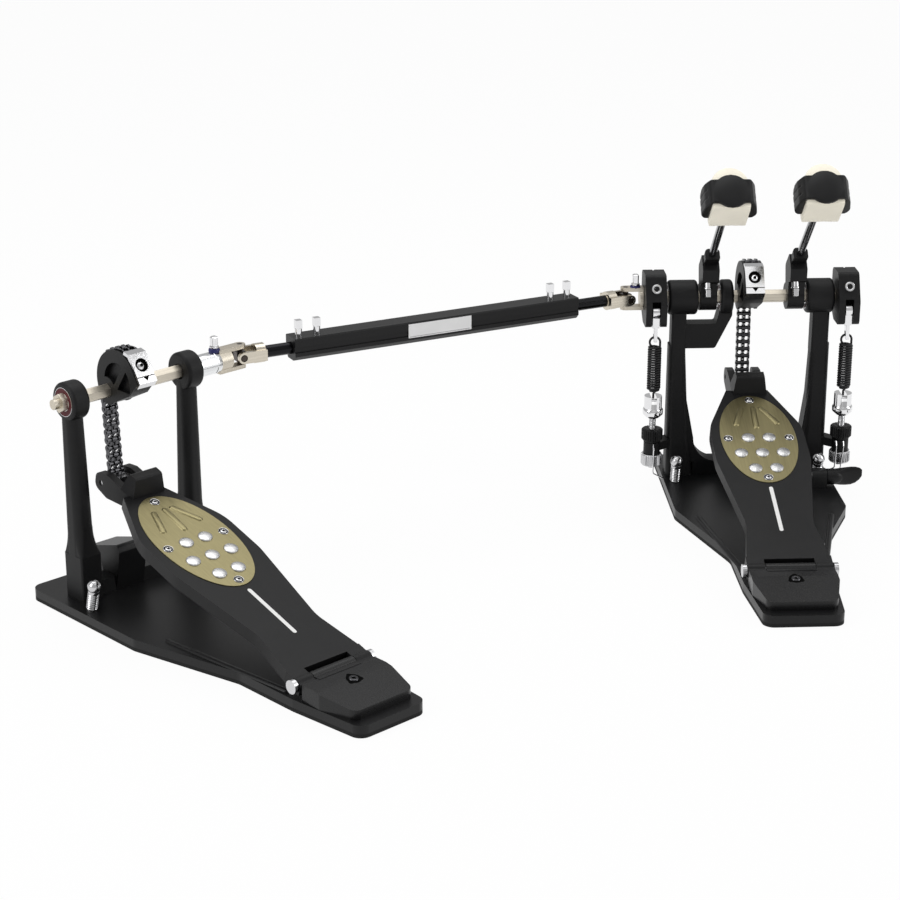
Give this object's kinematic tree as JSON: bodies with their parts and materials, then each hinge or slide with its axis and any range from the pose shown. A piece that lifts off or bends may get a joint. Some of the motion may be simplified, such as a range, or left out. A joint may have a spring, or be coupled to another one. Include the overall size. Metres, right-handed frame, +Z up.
{
  "type": "double bass drum pedal",
  "caption": "Double bass drum pedal: two chain-driven footboards on floor plates, a telescopic drive shaft with universal joints, and a pair of felt beaters.",
  "frame": {"origin": "on the floor, under the main pedal's axle, in line with the middle of its footboard", "axes": "+X along the main axle to the right, +Y towards the drum, +Z up"},
  "size_m": [0.6931, 0.5275, 0.3067],
  "materials": {
    "coated_castings": "satin black coated",
    "coated_base": "satin black",
    "sole_rubber": "matte",
    "bearing_steel": "ground",
    "chrome_parts": "polished",
    "grip_gold": "brushed champagne gold",
    "stud_aluminium": "turned",
    "chain_steel": "blackened",
    "nickel_axle": "nickel",
    "rod_steel": "polished",
    "saddle_plastic": "moulded",
    "felt": "pressed felt",
    "spring_steel": "black",
    "shaft_black": "black anodised",
    "shaft_steel": "nickel yokes, blackened rods"
  },
  "bodies": {
    "main_frame": {"main_base": "coated_base", "main_sole": "sole_rubber", "main_left_tower": "coated_castings", "main_right_tower": "coated_castings", "main_bearings": "bearing_steel", "main_heel_plate": "coated_castings", "main_hardware": "chrome_parts", "tension_posts": "chrome_parts", "left_spring": "spring_steel", "right_spring": "spring_steel"},
    "main_board": {"main_footboard": "coated_castings", "main_grip_plate": "grip_gold", "main_grip_studs": "stud_aluminium", "main_chain_anchor": "chrome_parts"},
    "main_chain_run": {"main_chain_run": "chain_steel"},
    "main_chain_step": {"main_chain_step": "chain_steel"},
    "main_axle": {"main_axle": "nickel_axle", "main_cam": "coated_castings", "main_chain_clamp": "chrome_parts", "main_chain_wrap": "chain_steel", "right_beater_hub": "coated_castings", "right_spring_lever": "coated_castings"},
    "right_beater": {"right_beater_rod": "rod_steel", "right_beater_saddle": "saddle_plastic", "right_beater_felt": "felt"},
    "right_spring_link": {"right_spring_link": "chrome_parts"},
    "left_axle": {"stub_axle": "nickel_axle", "left_beater_hub": "coated_castings", "left_spring_lever": "coated_castings"},
    "left_beater": {"left_beater_rod": "rod_steel", "left_beater_saddle": "saddle_plastic", "left_beater_felt": "felt"},
    "left_spring_link": {"left_spring_link": "chrome_parts"},
    "left_joint_cross": {"left_joint_cross": "chrome_parts"},
    "right_joint_cross": {"right_joint_cross": "chrome_parts"},
    "shaft": {"shaft_tube": "shaft_black", "shaft_bolts": "chrome_parts", "shaft_right_rod": "shaft_steel"},
    "shaft_left_rod": {"shaft_left_rod": "shaft_steel"},
    "hoop_jaw": {"hoop_jaw": "coated_castings"},
    "wing_screw": {"wing_screw": "saddle_plastic"},
    "left_tension_knob": {"left_tension_knob": "saddle_plastic"},
    "right_tension_knob": {"right_tension_knob": "saddle_plastic"},
    "slave_frame": {"slave_base": "coated_base", "slave_sole": "sole_rubber", "slave_left_tower": "coated_castings", "slave_right_tower": "coated_castings", "slave_bearings": "bearing_steel", "slave_heel_plate": "coated_castings", "slave_hardware": "chrome_parts"},
    "slave_board": {"slave_footboard": "coated_castings", "slave_grip_plate": "grip_gold", "slave_grip_studs": "stud_aluminium", "slave_chain_anchor": "chrome_parts"},
    "slave_chain_run": {"slave_chain_run": "chain_steel"},
    "slave_chain_step": {"slave_chain_step": "chain_steel"},
    "slave_axle": {"slave_axle": "nickel_axle", "slave_cam": "coated_castings", "slave_chain_clamp": "chrome_parts", "slave_chain_wrap": "chain_steel"}
  },
  "joints": [
    {"name": "main_press", "type": "hinge", "parent": "main_frame", "child": "main_board", "pos_m": [0, -0.25, 0.0193], "axis": [-1, 0, 0], "range_deg": [0, 2.62]},
    {"name": "main_swing", "type": "hinge", "parent": "main_frame", "child": "main_axle", "pos_m": [0, 0, 0.17], "axis": [-1, 0, 0], "range_deg": [0, 46]},
    {"name": "main_chain_hang", "type": "hinge", "parent": "main_board", "child": "main_chain_run", "pos_m": [0.002, 0.00659, 0.09462], "axis": [-1, 0, 0], "range_deg": [-0.7571, 0]},
    {"name": "main_chain_bend", "type": "hinge", "parent": "main_chain_run", "child": "main_chain_step", "pos_m": [0.002, 0.01146, 0.17703], "axis": [-1, 0, 0], "range_deg": [0, 1.63]},
    {"name": "slave_press", "type": "hinge", "parent": "slave_frame", "child": "slave_board", "pos_m": [-0.35951, -0.41644, 0.0193], "axis": [-0.7596, -0.6504, 0], "range_deg": [0, 2.62]},
    {"name": "slave_swing", "type": "hinge", "parent": "slave_frame", "child": "slave_axle", "pos_m": [-0.5221, -0.22654, 0.17], "axis": [-0.7596, -0.6504, 0], "range_deg": [0, 46]},
    {"name": "slave_chain_hang", "type": "hinge", "parent": "slave_board", "child": "slave_chain_run", "pos_m": [-0.52487, -0.22023, 0.09462], "axis": [-0.7596, -0.6504, 0], "range_deg": [-0.7571, 0]},
    {"name": "slave_chain_bend", "type": "hinge", "parent": "slave_chain_run", "child": "slave_chain_step", "pos_m": [-0.52804, -0.21654, 0.17703], "axis": [-0.7596, -0.6504, 0], "range_deg": [0, 1.63]},
    {"name": "right_spring_pull", "type": "slide", "parent": "main_frame", "child": "right_spring_link", "axis": [0, 0, 1], "range_m": [0, 0.01404], "deforming": ["right_spring"]},
    {"name": "right_beater_height", "type": "slide", "parent": "main_axle", "child": "right_beater", "axis": [0, -0.7361, 0.6769], "range_m": [-0.012, 0.01]},
    {"name": "slave_reach", "type": "slide", "parent": "main_frame", "child": "slave_frame", "axis": [-0.9114, -0.4115, 0], "range_m": [-0.018, 0.06]},
    {"name": "left_cross_rock", "type": "hinge", "parent": "slave_axle", "child": "left_joint_cross", "pos_m": [-0.42958, -0.14732, 0.17], "axis": [0, 0, 1], "range_deg": [0, 4.81]},
    {"name": "left_rod_spin", "type": "hinge", "parent": "slave_frame", "child": "shaft_left_rod", "pos_m": [-0.42958, -0.14732, 0.17], "axis": [-0.9114, -0.4115, 0], "range_deg": [0, 44.83]},
    {"name": "shaft_spin", "type": "hinge", "parent": "main_frame", "child": "shaft", "pos_m": [-0.1033, 0, 0.17], "axis": [-0.9114, -0.4115, 0], "range_deg": [0, 44.83]},
    {"name": "left_swing", "type": "hinge", "parent": "main_frame", "child": "left_axle", "pos_m": [0, 0, 0.17], "axis": [-1, 0, 0], "range_deg": [0, 47.48]},
    {"name": "right_cross_rock", "type": "hinge", "parent": "left_axle", "child": "right_joint_cross", "pos_m": [-0.1033, 0, 0.17], "axis": [0, 0, 1], "range_deg": [-7.33, 0]},
    {"name": "left_spring_pull", "type": "slide", "parent": "main_frame", "child": "left_spring_link", "axis": [0, 0, 1], "range_m": [0, 0.01448], "deforming": ["left_spring"]},
    {"name": "left_beater_height", "type": "slide", "parent": "left_axle", "child": "left_beater", "axis": [0, -0.7361, 0.6769], "range_m": [-0.012, 0.01]},
    {"name": "wing_turn", "type": "hinge", "parent": "main_frame", "child": "wing_screw", "pos_m": [0, -0.041, 0.0175], "axis": [-1, 0, 0], "range_deg": [0, 720]},
    {"name": "jaw_close", "type": "hinge", "parent": "main_frame", "child": "hoop_jaw", "pos_m": [0, 0, 0.0365], "axis": [-1, 0, 0], "range_deg": [0, 6]},
    {"name": "left_knob_turn", "type": "hinge", "parent": "main_frame", "child": "left_tension_knob", "pos_m": [-0.0789, -0.017, 0.0445], "axis": [0, 0, 1], "continuous": true},
    {"name": "right_knob_turn", "type": "hinge", "parent": "main_frame", "child": "right_tension_knob", "pos_m": [0.0875, -0.017, 0.0445], "axis": [0, 0, 1], "continuous": true}
  ],
  "couplings": [
    {"joint": "main_swing", "follows": "main_press", "ratio": 17.537},
    {"joint": "main_chain_hang", "follows": "main_press", "ratio": -0.28864},
    {"joint": "main_chain_bend", "follows": "main_press", "ratio": 0.62163},
    {"joint": "slave_swing", "follows": "slave_press", "ratio": 17.537},
    {"joint": "slave_chain_hang", "follows": "slave_press", "ratio": -0.28864},
    {"joint": "slave_chain_bend", "follows": "slave_press", "ratio": 0.62163},
    {"joint": "right_spring_pull", "follows": "main_press", "m_per_rad": 0.30677},
    {"joint": "left_cross_rock", "follows": "slave_press", "ratio": 1.8335},
    {"joint": "left_rod_spin", "follows": "slave_press", "ratio": 17.091},
    {"joint": "shaft_spin", "follows": "slave_press", "ratio": 17.091},
    {"joint": "left_swing", "follows": "slave_press", "ratio": 18.103},
    {"joint": "right_cross_rock", "follows": "slave_press", "ratio": -2.795},
    {"joint": "left_spring_pull", "follows": "slave_press", "m_per_rad": 0.31639},
    {"joint": "jaw_close", "follows": "wing_turn", "ratio": 0.0083333}
  ]
}
